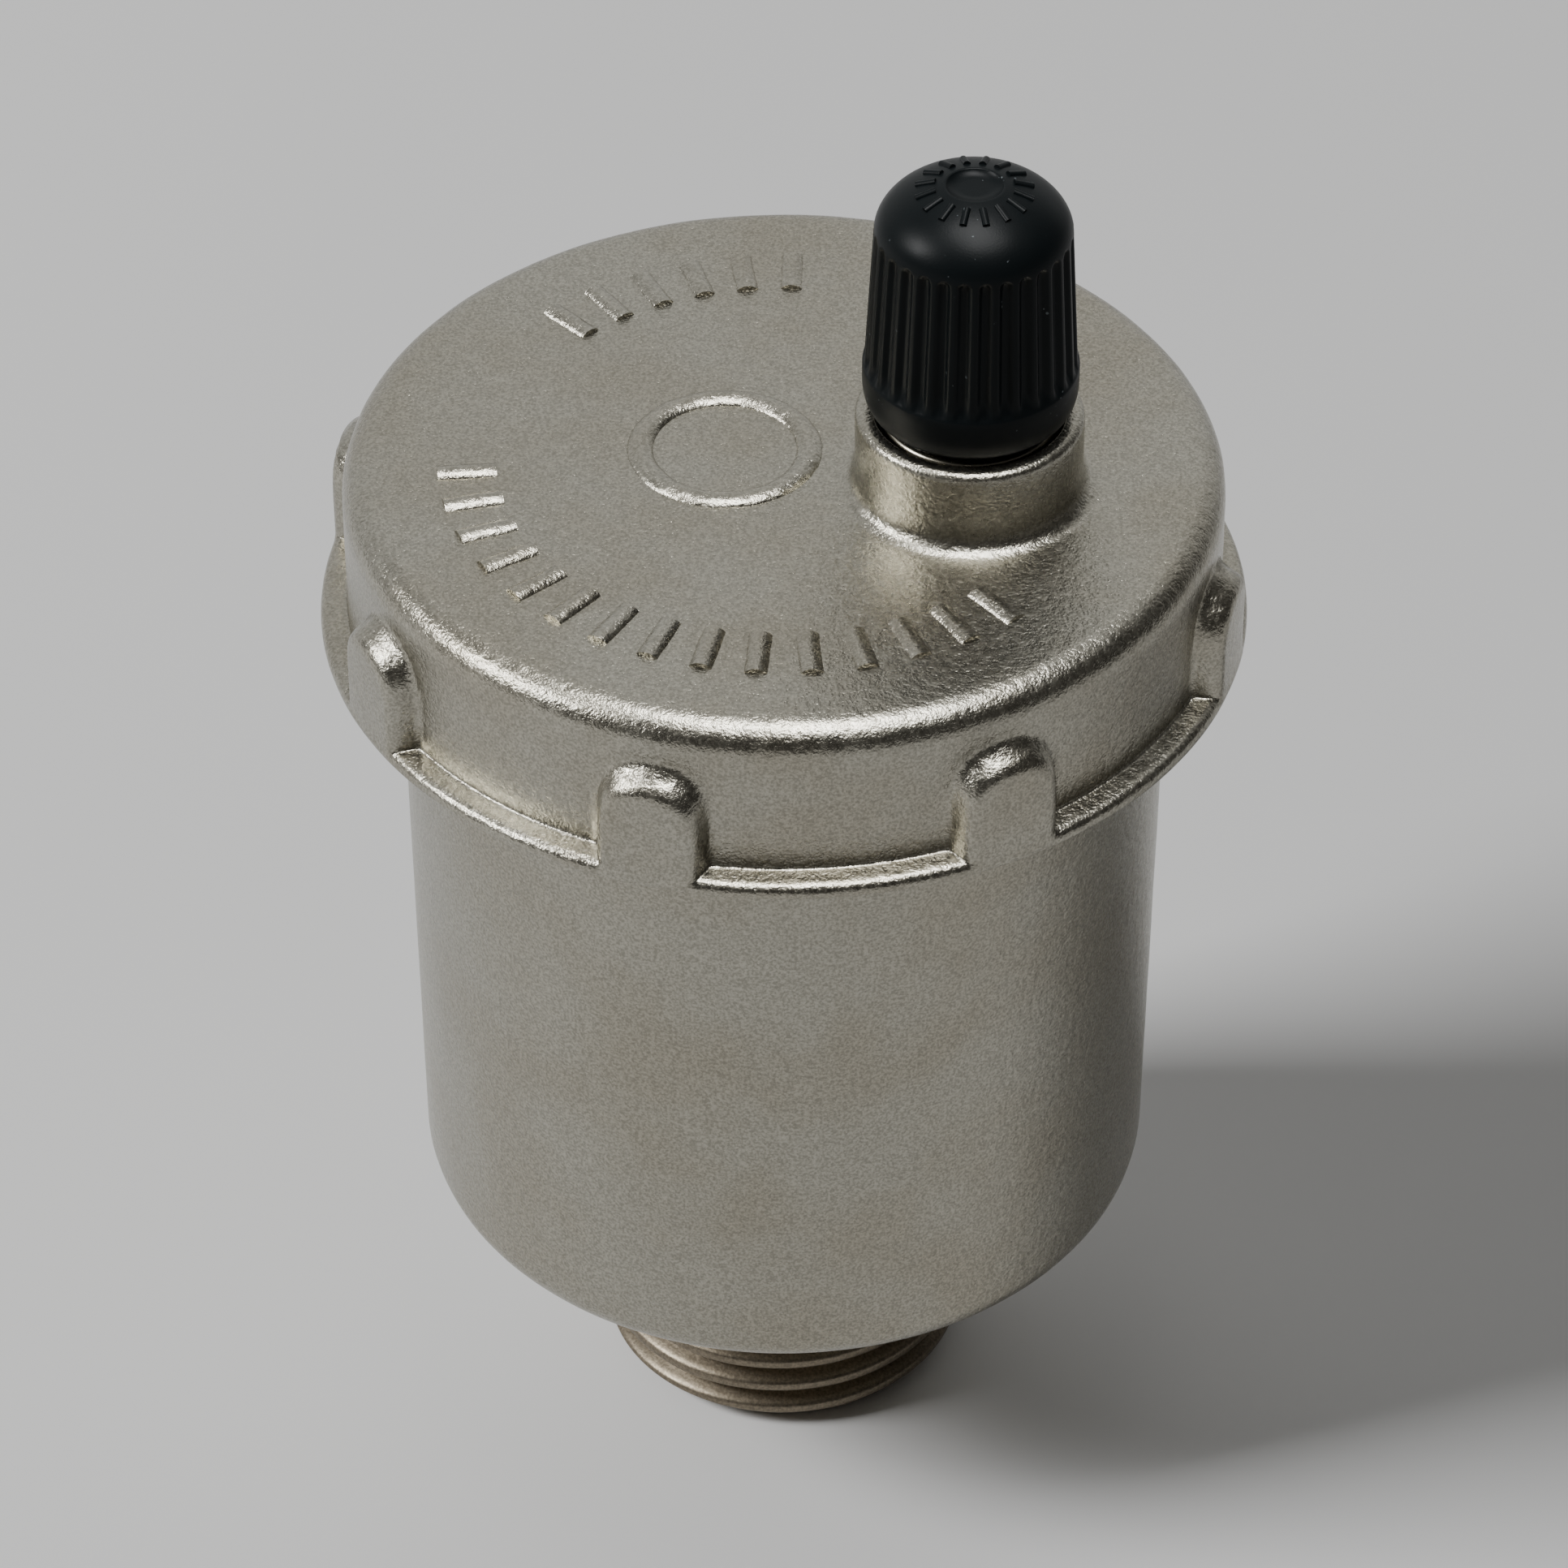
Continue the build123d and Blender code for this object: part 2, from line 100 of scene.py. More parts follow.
class Link:
    """A node's output; arithmetic on it adds Math nodes to its tree."""

    def __init__(self, tree, output):
        self.tree, self.output = tree, output

    def maths(self, operation, *others):
        return self.tree.node("ShaderNodeMath", {"operation": operation}, dict(enumerate((self, *others))))

    def __add__(self, other):
        return self.maths("ADD", other)

    def __sub__(self, other):
        return self.maths("SUBTRACT", other)

    def __mul__(self, other):
        return self.maths("MULTIPLY", other)

    def __truediv__(self, other):
        return self.maths("DIVIDE", other)

    def __pow__(self, other):
        return self.maths("POWER", other)

    def __neg__(self):
        return self.maths("MULTIPLY", -1)

    def __rsub__(self, other):
        return self.tree.node("ShaderNodeMath", {"operation": "SUBTRACT"}, {0: other, 1: self})

    def __rtruediv__(self, other):
        return self.tree.node("ShaderNodeMath", {"operation": "DIVIDE"}, {0: other, 1: self})

    __radd__ = __add__
    __rmul__ = __mul__

    def above(self, low, high):
        """0 below low, 1 above high, smooth between."""
        return self.tree.node(
            "ShaderNodeMapRange",
            {"interpolation_type": "SMOOTHSTEP"},
            {"Value": self, "From Min": low, "From Max": high, "To Min": 0, "To Max": 1},
        )


class Tree:
    """A shader or geometry tree, wired node by node."""

    def __init__(self, tree):
        self.tree = tree
        tree.nodes.clear()

    def node(self, kind, settings={}, values={}, output=0):
        made = self.tree.nodes.new(kind)
        for name, value in settings.items():
            setattr(made, name, value)
        for name, value in values.items():
            if isinstance(value, Link):
                self.tree.links.new(value.output, made.inputs[name])
            else:
                made.inputs[name].default_value = value
        return Link(self, made.outputs[output]) if len(made.outputs) else made

    def split(self, vector):
        """The three parts of a vector."""
        made = self.node("ShaderNodeSeparateXYZ", {}, {0: vector}).output.node
        return [Link(self, output) for output in made.outputs]

    def join(self, x, y, z):
        return self.node("ShaderNodeCombineXYZ", {}, {0: x, 1: y, 2: z})


class GeometryTree(Tree):
    """A geometry tree with named inputs for its sizes."""

    def __init__(self, name, sizes):
        super().__init__(bpy.data.node_groups.new(name, "GeometryNodeTree"))
        self.tree.interface.new_socket("Geometry", in_out="INPUT", socket_type="NodeSocketGeometry")
        for size, kind in sizes.items():
            self.tree.interface.new_socket(size, in_out="INPUT", socket_type="NodeSocket" + kind)
        self.tree.interface.new_socket("Geometry", in_out="OUTPUT", socket_type="NodeSocketGeometry")
        inputs = self.tree.nodes.new("NodeGroupInput")
        self.inputs = {output.name: Link(self, output) for output in inputs.outputs if output.name}

    def finish(self, geometry, material):
        """Realize instances, set the material and end the tree."""
        real = self.node("GeometryNodeRealizeInstances", {}, {0: geometry})
        dressed = self.node("GeometryNodeSetMaterial", {}, {"Geometry": real, "Material": material})
        self.node("NodeGroupOutput", {}, {"Geometry": dressed})

    def shape(self, piece, sizes):
        """Run the tree on a piece with these sizes and keep the result as its plain mesh."""
        modifier = piece.modifiers.new(self.tree.name, "NODES")
        modifier.node_group = self.tree
        sockets = {item.name: item.identifier for item in self.tree.interface.items_tree}
        for name, value in sizes.items():
            modifier[sockets[name]] = value
        bpy.context.view_layer.update()
        graph = bpy.context.evaluated_depsgraph_get()
        mesh = bpy.data.meshes.new_from_object(piece.evaluated_get(graph))
        piece.modifiers.clear()
        piece.data = mesh
        mesh.name = piece.name
        smooth(mesh)


# Meshes made of rings

def smooth(mesh):
    mesh.polygons.foreach_set("use_smooth", np.ones(len(mesh.polygons), bool))
    mesh.update()


def piece_from(name, points, faces):
    mesh = bpy.data.meshes.new(name)
    mesh.from_pydata(points, [], faces)
    smooth(mesh)
    piece = bpy.data.objects.new(name, mesh)
    bpy.context.scene.collection.objects.link(piece)
    return piece


def skin(rings, poles=False):
    """Points and faces of rings joined one to the next: closed on itself, or by a pole at each end."""
    rings = np.array(rings)
    count, columns = rings.shape[:2]
    points = rings.reshape(-1, 3)
    across = np.arange(columns)
    beside = (across + 1) % columns
    faces = []
    for row in range(count if not poles else count - 1):
        here, there = row * columns, (row + 1) % count * columns
        faces += np.stack([here + across, here + beside, there + beside, there + across], 1).tolist()
    if poles:
        first, last = len(points), len(points) + 1
        points = np.vstack([points, rings[0].mean(0), rings[-1].mean(0)])
        end = (count - 1) * columns
        faces += [(first, b, a) for a, b in zip(across.tolist(), beside.tolist())]
        faces += [(end + a, end + b, last) for a, b in zip(across.tolist(), beside.tolist())]
    return points, faces


def evenly(columns):
    return np.arange(columns) * tau / columns


def ring(radius, height, angles, centre_x=0.0):
    return np.stack(
        [centre_x + radius * np.cos(angles), radius * np.sin(angles), np.full(len(angles), height)], 1
    )


def turned(profile, angles, centre_x=0.0):
    return [ring(radius, height, angles, centre_x) for radius, height in profile]


def rounded(corners, steps=5):
    """A profile from corners that are (radius, height, fillet), with each fillet as short arcs."""
    path = []
    count = len(corners)
    for index, corner in enumerate(corners):
        here = np.array(corner[:2], float)
        fillet = corner[2] if len(corner) > 2 else 0
        if not fillet:
            path.append(tuple(here))
            continue
        back = np.array(corners[index - 1][:2], float) - here
        ahead = np.array(corners[(index + 1) % count][:2], float) - here
        back, ahead = back / np.linalg.norm(back), ahead / np.linalg.norm(ahead)
        half = np.arccos(np.clip(back @ ahead, -1, 1)) / 2
        middle = (back + ahead) / np.linalg.norm(back + ahead)
        centre = here + middle * fillet / sin(half)
        start, end = here + back * fillet / np.tan(half), here + ahead * fillet / np.tan(half)
        a, b = atan2(*(start - centre)[::-1]), atan2(*(end - centre)[::-1])
        turn = (b - a + pi) % tau - pi
        for step in range(steps + 1):
            angle = a + turn * step / steps
            path.append((centre[0] + fillet * cos(angle), centre[1] + fillet * sin(angle)))
    return path


def runs(profile, longest):
    """The same profile with points added so that no run is longer than longest(radius, height)."""
    path = []
    for (r0, z0), (r1, z1) in zip(profile, profile[1:]):
        length = sqrt((r1 - r0) ** 2 + (z1 - z0) ** 2)
        steps = max(1, int(np.ceil(length / longest((r0 + r1) / 2, (z0 + z1) / 2))))
        path += [(r0 + (r1 - r0) * s / steps, z0 + (z1 - z0) * s / steps) for s in range(steps)]
    return path + [profile[-1]]


# Materials

def finish_named(name):
    """A new material's tree and the object's own coordinates in it."""
    material = bpy.data.materials.new(name)
    material.use_nodes = True
    tree = Tree(material.node_tree)
    return material, tree, tree.node("ShaderNodeTexCoord", {}, {}, "Object")


def noise(tree, place, size, detail=2.0, roughness=0.5):
    """Noise from 0 to 1 whose lumps are about this size."""
    values = {"Vector": place, "Scale": 1 / size, "Detail": detail, "Roughness": roughness}
    return tree.node("ShaderNodeTexNoise", {}, values)


def mix(tree, share, first, second, blend="MIX"):
    """A colour between two, each a link or three numbers."""
    first, second = ((*colour, 1) if isinstance(colour, tuple) else colour for colour in (first, second))
    settings = {"data_type": "RGBA", "blend_type": blend}
    return tree.node("ShaderNodeMix", settings, {0: share, 6: first, 7: second}, 2)


def surface(tree, values, height=None, depth=0.0, strength=1.0):
    """The principled surface that ends a material, with its bump."""
    if height is not None:
        values["Normal"] = tree.node(
            "ShaderNodeBump", {}, {"Height": height, "Distance": depth, "Strength": strength}
        )
    shader = tree.node("ShaderNodeBsdfPrincipled", {}, values)
    tree.node("ShaderNodeOutputMaterial", {}, {"Surface": shader})


def blasted_nickel():
    """Nickel plate on a shot-blasted forging: fine gritty grain, faint brownish patches, and a duller, rougher screw
    thread whose darker brown colour is painted shade under the body.
    """
    material, tree, place = finish_named("blasted_nickel")
    x, y, z = tree.split(place)
    # the screw thread below the body: rougher, with a flatter bump, and painted darker brown as painted shade
    dull_thread_and_shade = 1 - z.above(spigot_length - 1.2 * MM, spigot_length + 0.2 * MM)
    grit = noise(tree, place, 0.16 * MM, 2.0, 0.6)
    dimples = noise(tree, place, 0.55 * MM, 2.0)
    patches = noise(tree, place, 9 * MM, 3.0, 0.6)
    plate = mix(tree, patches.above(0.35, 0.7), (0.356, 0.341, 0.290), (0.326, 0.304, 0.248))
    # painted shade: the thread under the body is painted dark brown
    plate = mix(tree, dull_thread_and_shade, plate, (0.235, 0.200, 0.150))
    speckle = mix(tree, grit.above(0.3, 0.7), (0.72, 0.72, 0.71), (1.18, 1.18, 1.18))
    surface(
        tree,
        {
            "Base Color": mix(tree, 1.0, plate, speckle, "MULTIPLY"),
            "Metallic": 1.0,
            "Roughness": 0.20 + dimples * 0.14 + dull_thread_and_shade * 0.16,
        },
        (grit * 0.7 + dimples * 0.9) * (1 - dull_thread_and_shade * 0.75),
        0.07 * MM,
        0.8,
    )
    return material


def turned_nickel(name, centre_x):
    """Nickel-plated turned brass, with fine rings round the piece's own axis."""
    material, tree, place = finish_named(name)
    x, y, z = tree.split(place)
    x = x - centre_x
    across = (x * x + y * y) ** 0.5
    rings = noise(tree, tree.join(across, 0.0, z), 0.09 * MM, 2.0)
    spots = noise(tree, place, 1.2 * MM, 3.0)
    plate = mix(tree, spots, (0.40, 0.37, 0.295), (0.50, 0.47, 0.39))
    surface(
        tree,
        {"Base Color": plate, "Metallic": 1.0, "Roughness": 0.20 + spots * 0.14},
        rings,
        0.01 * MM,
        0.5,
    )
    return material


def pressed_steel():
    """Bright stainless sheet and wire, lightly drawn along its length."""
    material, tree, place = finish_named("pressed_steel")
    stretched = tree.node("ShaderNodeVectorMath", {"operation": "MULTIPLY"}, {0: place, 1: (0.06, 1, 1)})
    drawn = noise(tree, stretched, 0.08 * MM, 3.0)
    worn = noise(tree, place, 2 * MM, 3.0)
    plate = mix(tree, worn, (0.50, 0.50, 0.50), (0.60, 0.60, 0.61))
    surface(
        tree,
        {"Base Color": plate, "Metallic": 1.0, "Roughness": 0.22 + drawn * 0.16},
        drawn,
        0.008 * MM,
        0.4,
    )
    return material


def seal_rubber():
    """Black moulded rubber with a faint bloom."""
    material, tree, place = finish_named("seal_rubber")
    bloom = noise(tree, place, 1.5 * MM, 4.0, 0.6)
    grain = noise(tree, place, 0.12 * MM, 2.0)
    colour = mix(tree, bloom.above(0.4, 0.8), (0.012, 0.012, 0.012), (0.030, 0.030, 0.031))
    surface(tree, {"Base Color": colour, "Roughness": 0.62 + bloom * 0.2}, grain, 0.01 * MM, 0.5)
    return material


def natural_plastic():
    """Natural moulded polypropylene of the float."""
    material, tree, place = finish_named("natural_plastic")
    cloud = noise(tree, place, 6 * MM, 3.0)
    grain = noise(tree, place, 0.2 * MM, 2.0)
    colour = mix(tree, cloud, (0.70, 0.69, 0.63), (0.80, 0.79, 0.74))
    surface(tree, {"Base Color": colour, "Roughness": 0.34 + cloud * 0.14}, grain, 0.006 * MM, 0.4)
    return material


def satin_black():
    """Black moulded plastic of the cap, with a few specks of dust."""
    material, tree, place = finish_named("satin_black")
    skin_grain = noise(tree, place, 0.11 * MM, 2.0)
    sheen = noise(tree, place, 2.2 * MM, 3.0)
    flecks = noise(tree, place, 0.23 * MM, 0.0)
    drift = noise(tree, place, 3.0 * MM, 1.0)
    dust = flecks.above(0.80, 0.83) * drift.above(0.52, 0.62)
    colour = mix(tree, dust, (0.0026, 0.0036, 0.0040), (0.07, 0.08, 0.085))
    surface(
        tree,
        {"Base Color": colour, "Roughness": 0.30 + sheen * 0.14, "Specular IOR Level": 0.08},
        skin_grain,
        0.012 * MM,
        0.4,
    )
    return material


def pale_floor():
    material, tree, place = finish_named("pale_floor")
    cloud = noise(tree, place, 0.4, 2.0)
    surface(tree, {"Base Color": mix(tree, cloud, (0.90, 0.90, 0.90), (0.92, 0.92, 0.92)), "Roughness": 0.8})
    return material


nickel = blasted_nickel()
cap_black = satin_black()
nozzle_nickel = turned_nickel("turned_nozzle", nozzle_x)
steel = pressed_steel()
rubber = seal_rubber()
float_white = natural_plastic()


# Shapes that follow a rule

def thread_tree():
    """Cuts a right-handed rounded thread into a turned piece, from its foot level to its head level."""
    tree = GeometryTree(
        "screw_thread",
        {
            "Centre X": "Float",
            "Radius": "Float",
            "Pitch": "Float",
            "Depth": "Float",
            "Foot": "Float",
            "Foot fade": "Float",
            "Head": "Float",
            "Head fade": "Float",
            "Material": "Material",
        },
    )
    size = tree.inputs
    x, y, z = tree.split(tree.node("GeometryNodeInputPosition"))
    x = x - size["Centre X"]
    across = (x * x + y * y) ** 0.5
    turn = y.maths("ARCTAN2", x) / tau
    wave = (0.5 - 0.5 * ((z / size["Pitch"] - turn) * tau).maths("COSINE")) ** 1.8
    cut = z.above(size["Foot"], size["Foot"] + size["Foot fade"]) * (
        1 - z.above(size["Head"] - size["Head fade"], size["Head"])
    )
    outside = across.maths("GREATER_THAN", size["Radius"] * 0.85)
    within = z.maths("GREATER_THAN", size["Foot"] - 0.001 * MM) * z.maths("LESS_THAN", size["Head"])
    reach = across.maths("MINIMUM", size["Radius"] - size["Depth"] * wave * cut) / across
    moved = tree.node(
        "GeometryNodeSetPosition",
        {},
        {
            "Geometry": size["Geometry"],
            "Selection": outside * within,
            "Position": tree.join(size["Centre X"] + x * reach, y * reach, z),
        },
    )
    tree.finish(moved, size["Material"])
    return tree


def lug_tree():
    """Raises arch-topped lugs with steep sides on a turned wall."""
    tree = GeometryTree(
        "gripping_lugs",
        {
            "Count": "Float",
            "Phase": "Float",
            "Half width": "Float",
            "Foot": "Float",
            "Shoulder": "Float",
            "Head": "Float",
            "Face radius": "Float",
            "Slope": "Float",
            "Corner": "Float",
            "Edge": "Float",
            "Blend": "Float",
            "Skin radius": "Float",
            "Material": "Material",
        },
    )
    size = tree.inputs
    x, y, z = tree.split(tree.node("GeometryNodeInputPosition"))
    across = (x * x + y * y) ** 0.5
    place = (y.maths("ARCTAN2", x) - size["Phase"]) * size["Count"] / tau
    sideways = (place - place.maths("ROUND")) * tau / size["Count"] * size["Face radius"]
    rise = size["Head"] - size["Shoulder"]
    arch = (size["Half width"] * size["Half width"] + rise * rise) / (rise * 2)
    over = (z - size["Head"] + arch).maths("MAXIMUM", 0.0)
    beyond = (sideways.maths("ABSOLUTE") - size["Half width"]).maths(
        "SMOOTH_MAX", (sideways * sideways + over * over) ** 0.5 - arch, size["Corner"]
    )
    face = size["Face radius"] - beyond.maths("SMOOTH_MAX", 0.0, size["Edge"]) * size["Slope"]
    reach = across.maths("SMOOTH_MAX", face, size["Blend"]) / across
    outside = across.maths("GREATER_THAN", size["Skin radius"]) * z.maths("GREATER_THAN", size["Foot"])
    moved = tree.node(
        "GeometryNodeSetPosition",
        {},
        {"Geometry": size["Geometry"], "Selection": outside, "Position": tree.join(x * reach, y * reach, z)},
    )
    tree.finish(moved, size["Material"])
    return tree


def groove_tree():
    """Sinks upright grooves with round heads into a turned barrel."""
    tree = GeometryTree(
        "grip_grooves",
        {
            "Centre X": "Float",
            "Count": "Float",
            "Radius": "Float",
            "Half width": "Float",
            "Foot": "Float",
            "Head": "Float",
            "Depth": "Float",
            "Edge": "Float",
            "Skin radius": "Float",
            "Material": "Material",
        },
    )
    size = tree.inputs
    x, y, z = tree.split(tree.node("GeometryNodeInputPosition"))
    x = x - size["Centre X"]
    across = (x * x + y * y) ** 0.5
    place = y.maths("ARCTAN2", x) * size["Count"] / tau
    sideways = (place - place.maths("ROUND")) * tau / size["Count"] * size["Radius"]
    over = (z - size["Head"] + size["Half width"]).maths("MAXIMUM", 0.0)
    beyond = ((sideways * sideways + over * over) ** 0.5 - size["Half width"]).maths("MAXIMUM", size["Foot"] - z)
    sunk = 1 - beyond.above(-size["Edge"], size["Edge"])
    reach = 1 - size["Depth"] * sunk * across.maths("GREATER_THAN", size["Skin radius"]) / across
    moved = tree.node(
        "GeometryNodeSetPosition",
        {},
        {
            "Geometry": size["Geometry"],
            "Position": tree.join(size["Centre X"] + x * reach, y * reach, z),
        },
    )
    tree.finish(moved, size["Material"])
    return tree


def mark_tree():
    """Soft raised bars on an arc, each pointing away from the arc's centre."""
    tree = GeometryTree(
        "raised_marks",
        {
            "Centre": "Vector",
            "Count": "Int",
            "Radius": "Float",
            "Start": "Float",
            "Step": "Float",
            "Tilt": "Float",
            "Length": "Float",
            "Width": "Float",
            "Height": "Float",
            "Material": "Material",
        },
    )
    size = tree.inputs
    half = size["Length"] / 2
    line = tree.node("GeometryNodeCurvePrimitiveLine", {}, {"Start": tree.join(-half, 0.0, 0.0), "End": tree.join(half, 0.0, 0.0)})
    line = tree.node("GeometryNodeResampleCurve", {}, {"Curve": line, "Count": 13})
    along = tree.node("GeometryNodeSplineParameter") * 2 - 1
    plump = (1.0001 - (along * along * along) ** 2) ** 0.5
    line = tree.node("GeometryNodeSetCurveRadius", {}, {"Curve": line, "Radius": plump})
    section = tree.node("GeometryNodeCurvePrimitiveCircle", {}, {"Resolution": 14, "Radius": 1.0})
    bar = tree.node("GeometryNodeCurveToMesh", {}, {"Curve": line, "Profile Curve": section, "Fill Caps": True})
    angle = size["Start"] + size["Step"] * tree.node("GeometryNodeInputIndex")
    spot = tree.join(angle.maths("COSINE") * size["Radius"], angle.maths("SINE") * size["Radius"], 0.0)
    spot = tree.node("ShaderNodeVectorMath", {"operation": "ADD"}, {0: spot, 1: size["Centre"]})
    points = tree.node("GeometryNodePoints", {}, {"Count": size["Count"], "Position": spot})
    bars = tree.node(
        "GeometryNodeInstanceOnPoints",
        {},
        {
            "Points": points,
            "Instance": bar,
            "Rotation": tree.join(0.0, size["Tilt"], angle),
            "Scale": tree.join(1.0, size["Width"] / 2, size["Height"]),
        },
    )
    tree.finish(bars, size["Material"])
    return tree


def forging_tree():
    """Moves a forging's skin in and out a little, as blasting and die wear leave it."""
    tree = GeometryTree(
        "forged_skin", {"Lump size": "Float", "Lump depth": "Float", "Seed": "Float", "Material": "Material"}
    )
    size = tree.inputs
    lumps = tree.node(
        "ShaderNodeTexNoise",
        {"noise_dimensions": "4D"},
        {"W": size["Seed"], "Scale": 1 / size["Lump size"], "Detail": 2.0},
    )
    normal = tree.node("GeometryNodeInputNormal")
    offset = tree.node(
        "ShaderNodeVectorMath",
        {"operation": "SCALE"},
        {0: normal, "Scale": (lumps - 0.5) * 2 * size["Lump depth"]},
    )
    moved = tree.node("GeometryNodeSetPosition", {}, {"Geometry": size["Geometry"], "Offset": offset})
    tree.finish(moved, size["Material"])
    return tree


thread = thread_tree()
lugs = lug_tree()
grooves = groove_tree()
marks = mark_tree()
forging = forging_tree()


# Body: spigot with its pipe thread, conical underside, drafted wall and neck

def make_body():
    slope, lean = 0.40403, 0.011345
    corner_r = (body_r - (joint_z - spigot_length) * lean - thread_r * slope * lean) / (1 - slope * lean)
    corner_z = spigot_length + (corner_r - thread_r) * slope
    chamber_r, neck_r, groove_r, waterway_r = (r * MM for r in (18.0, 20.5, 19.2, 7.5))
    floor_z = corner_z - (corner_r - chamber_r) * slope + 2.804 * MM
    mouth_z = floor_z - (chamber_r - waterway_r) * slope
    profile = rounded(
        [
            (waterway_r, 0),
            (thread_r - 1.2 * MM, 0, 0.15 * MM),
            (thread_r, 1.2 * MM),
            (thread_r, spigot_length, 1.0 * MM),
            (corner_r, corner_z, 2.0 * MM),
            (body_r, joint_z, 0.25 * MM),
            (neck_r, joint_z),
            (neck_r, joint_z + 1.0 * MM),
            (groove_r, joint_z + 1.0 * MM),
            (groove_r, joint_z + 3.3 * MM),
            (neck_r, joint_z + 3.3 * MM),
            (neck_r, joint_z + 7.2 * MM, 0.3 * MM),
            (chamber_r, joint_z + 7.2 * MM),
            (chamber_r, floor_z, 1.5 * MM),
            (waterway_r, mouth_z),
        ],
        steps=8,
    )

    def longest(radius, height):
        if radius > 9 * MM and height < 11 * MM:
            return thread_pitch / 20
        return 2.5 * MM if radius > body_r - 4 * MM else 8 * MM

    piece = piece_from("body_forging", *skin(turned(runs(profile, longest), evenly(264))))
    thread.shape(
        piece,
        {
            "Centre X": 0.0,
            "Radius": thread_r,
            "Pitch": thread_pitch,
            "Depth": 1.0 * MM,
            "Foot": 0.0,
            "Foot fade": 0.01 * MM,
            "Head": 10.7 * MM,
            "Head fade": 1.6 * MM,
            "Material": nickel,
        },
    )
    forging.shape(piece, {"Lump size": 5 * MM, "Lump depth": 0.03 * MM, "Seed": 4.0, "Material": nickel})
    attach(piece, "housing")
    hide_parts("body")


# Cover: lip, wall with lugs, flat top that runs into the nozzle's boss, and its inside

def cover_angles():
    """Columns round the cover, close together across each lug."""
    pitch = tau / lug_count
    half = 3.3 * MM / lip_r
    across_lug = np.linspace(-half, half, 41)
    between = np.linspace(half, pitch - half, 26)[1:-1]
    one = np.concatenate([across_lug, between])
    return np.concatenate([lug_phase + turn * pitch + one for turn in range(lug_count)])


def make_cover():
    angles = cover_angles()
    bore_r, recess_r, shank_r, inner_r = (r * MM for r in (20.55, 5.2, 3.55, 5.6))
    ceiling, inner_z, recess_z = cover_top - 2.0 * MM, cover_top - 4.3 * MM, boss_top - 3.5 * MM
    lug_top = joint_z + 6.45 * MM
    outer = rounded(
        [
            (bore_r, joint_z),
            (lip_r, joint_z, 0.12 * MM),
            (lip_r, joint_z + 0.74 * MM, 0.58 * MM),
            (cover_r, joint_z + 0.88 * MM, 0.2 * MM),
            (cover_r, cover_top, 1.7 * MM),
            (0, cover_top),
        ],
        steps=8,
    )[:-1]

    def longest(radius, height):
        if abs(height - lug_top + 0.3 * MM) < 1.4 * MM:
            return 0.1 * MM
        return 0.16 * MM if height < joint_z + 1.6 * MM and radius > cover_r - 0.1 * MM else 0.4 * MM

    rings = turned(runs(outer[1:], longest), angles)
    rings.insert(0, ring(bore_r, joint_z, angles))
    rim = rings[-1]
    boss_centre = np.array([nozzle_x, 0.0])
    toward = rim[:, :2] - boss_centre
    toward /= np.linalg.norm(toward, axis=1)[:, None]

    def boss_ring(radius, height):
        return np.column_stack([boss_centre + toward * radius, np.full(len(angles), height)])

    boss = rounded(
        [
            (boss_r + 4 * MM, cover_top),
            (boss_r, cover_top, 1.0 * MM),
            (boss_r, boss_top, 0.5 * MM),
            (recess_r, boss_top, 0.12 * MM),
            (recess_r, recess_z),
            (shank_r, recess_z),
            (shank_r, inner_z),
            (inner_r, inner_z),
            (inner_r, ceiling),
            (inner_r + MM, ceiling),
        ],
        steps=6,
    )
    boss = runs(boss[1:-1], lambda radius, height: 0.6 * MM if height > cover_top + 0.4 * MM else 3 * MM)
    foot = boss_ring(*boss[0])
    rings += [rim + (foot - rim) * step / 24 for step in range(1, 24)]
    rings += [boss_ring(*corner) for corner in boss]
    edge = ring(bore_r, ceiling, angles)
    rings += [rings[-1] + (edge - rings[-1]) * 0.5, edge]
    points, faces = skin(rings)
    guide = [
        (1.75 * MM, ceiling + 0.2 * MM),
        (1.75 * MM, inner_z),
        (3.6 * MM, inner_z),
        (3.6 * MM, ceiling + 0.2 * MM),
    ]
    guide_points, guide_faces = skin(turned(guide, evenly(64)))
    faces += [tuple(corner + len(points) for corner in face) for face in guide_faces]
    piece = piece_from("cover_forging", np.vstack([points, guide_points]), faces)
    lugs.shape(
        piece,
        {
            "Count": float(lug_count),
            "Phase": lug_phase,
            "Half width": 2.75 * MM,
            "Foot": joint_z + 0.22 * MM,
            "Shoulder": lug_top - 1.3 * MM,
            "Head": lug_top,
            "Face radius": lip_r,
            "Slope": 2.8,
            "Corner": 1.5 * MM,
            "Edge": 0.7 * MM,
            "Blend": 0.3 * MM,
            "Skin radius": cover_r - 0.9 * MM,
            "Material": nickel,
        },
    )
    forging.shape(piece, {"Lump size": 4 * MM, "Lump depth": 0.04 * MM, "Seed": 9.0, "Material": nickel})
    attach(piece, "housing")
    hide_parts("cover")


# Plain raised bars and a ring on the cover's top

def make_cover_marks():
    for name, start, count in (("cover_bars_front", -163, 15), ("cover_bars_back", 101, 6)):
        piece = piece_from(name, [], [])
        marks.shape(
            piece,
            {
                "Centre": (0.0, 0.0, cover_top - 0.34 * MM),
                "Count": count,
                "Radius": 17.2 * MM,
                "Start": radians(start),
                "Step": radians(9.0),
                "Tilt": 0.0,
                "Length": 3.2 * MM,
                "Width": 1.5 * MM,
                "Height": 0.62 * MM,
                "Material": nickel,
            },
        )
        dress_mark(piece)
    swell = [radians(a) for a in range(0, 181, 15)]
    section = [(4.6 * MM + 0.8 * MM * cos(a), cover_top - 0.25 * MM + 0.55 * MM * sin(a)) for a in swell]
    dress_mark(piece_from("cover_ring", *skin(turned(section, evenly(160), -3.3 * MM))))


def dress_mark(piece):
    forging.shape(piece, {"Lump size": 1.3 * MM, "Lump depth": 0.07 * MM, "Seed": 2.0, "Material": nickel})
    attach(piece, "housing")


# Nozzle: collar, threaded stem and shank

